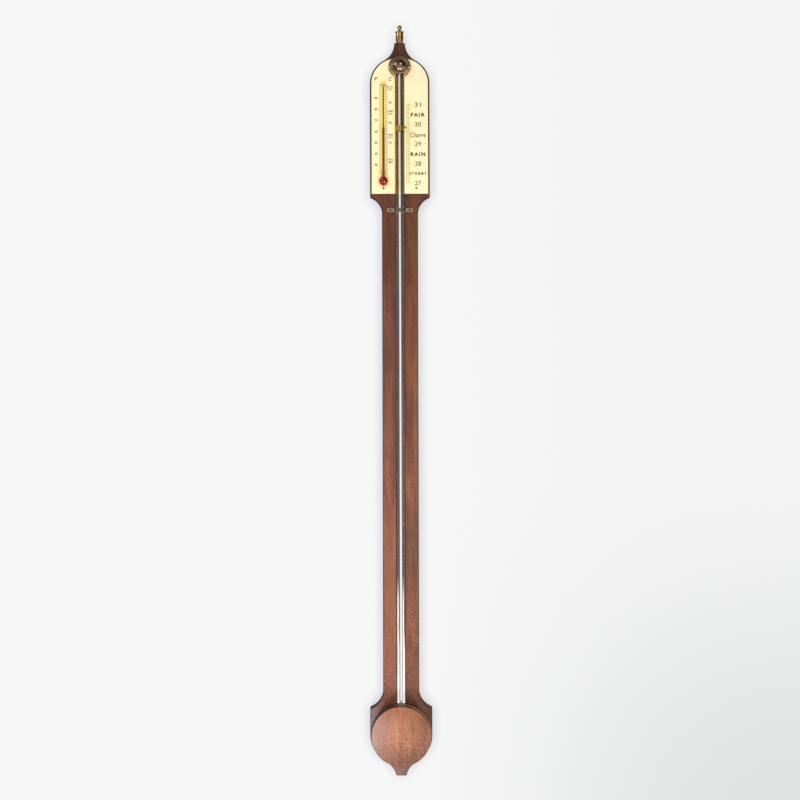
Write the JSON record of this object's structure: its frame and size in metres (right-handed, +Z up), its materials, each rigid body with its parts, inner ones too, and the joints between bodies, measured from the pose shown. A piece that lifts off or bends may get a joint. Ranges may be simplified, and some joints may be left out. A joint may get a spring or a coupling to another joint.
{
  "type": "stick barometer",
  "caption": "Wall-hung mercury stick barometer: shaped wooden board, glass tube with a sliding brass cursor, scale plates, thermometer and turned cistern cover.",
  "frame": {"origin": "centre of the hanging hole, on the back face of the board, which lies against the wall", "axes": "+Z up along the board, +X to the right seen from the front, +Y into the wall"},
  "size_m": [0.0776, 0.047, 0.9398],
  "materials": {
    "mahogany": "polished",
    "turned_mahogany": "polished",
    "brass": "polished",
    "ivorine": "satin",
    "glass": "clear",
    "mercury": "mirror",
    "red_spirit": "liquid",
    "grey_metal": "dull",
    "steel": "plain",
    "felt": "felt"
  },
  "bodies": {
    "case": {"trunk": "mahogany", "finial": "brass", "finial_stud": "steel", "tube_cap": "brass", "tube_cap_pins": "brass", "barometer_tube": "glass", "mercury_pool": "mercury", "mercury_column": "mercury", "cistern_stopper": "felt", "cistern_bed": "felt", "cistern_cover": "turned_mahogany", "cover_pad": "felt", "cover_screws": "steel", "tube_clip": "grey_metal", "clip_liner": "felt", "tube_cushion": "felt", "clip_screws": "grey_metal", "thermometer_plate": "ivorine", "scale_plate": "ivorine", "plate_pins": "brass", "thermometer_tube": "glass", "spirit_pool": "red_spirit", "spirit_column": "red_spirit", "thermometer_staples": "brass", "hanging_plate": "brass", "hanging_plate_screws": "brass"},
    "cursor": {"cursor_sleeve": "brass", "cursor_pointer": "brass"},
    "mercury": {"mercury_meniscus": "mercury"},
    "spirit": {"spirit_top": "red_spirit"}
  },
  "joints": [
    {"name": "cursor_slide", "type": "slide", "parent": "case", "child": "cursor", "axis": [0, 0, 1], "range_m": [-0.092, 0.059]},
    {"name": "mercury_level", "type": "slide", "parent": "case", "child": "mercury", "axis": [0, 0, 1], "range_m": [-0.143, 0.001], "stiffness_N_per_m": 1.1, "springref_m": 0.0025, "deforming": ["mercury_column"]},
    {"name": "spirit_level", "type": "slide", "parent": "case", "child": "spirit", "axis": [0, 0, 1], "range_m": [-0.046, 0.051], "stiffness_N_per_m": 0.01, "springref_m": 0.0026, "deforming": ["spirit_column"]}
  ]
}
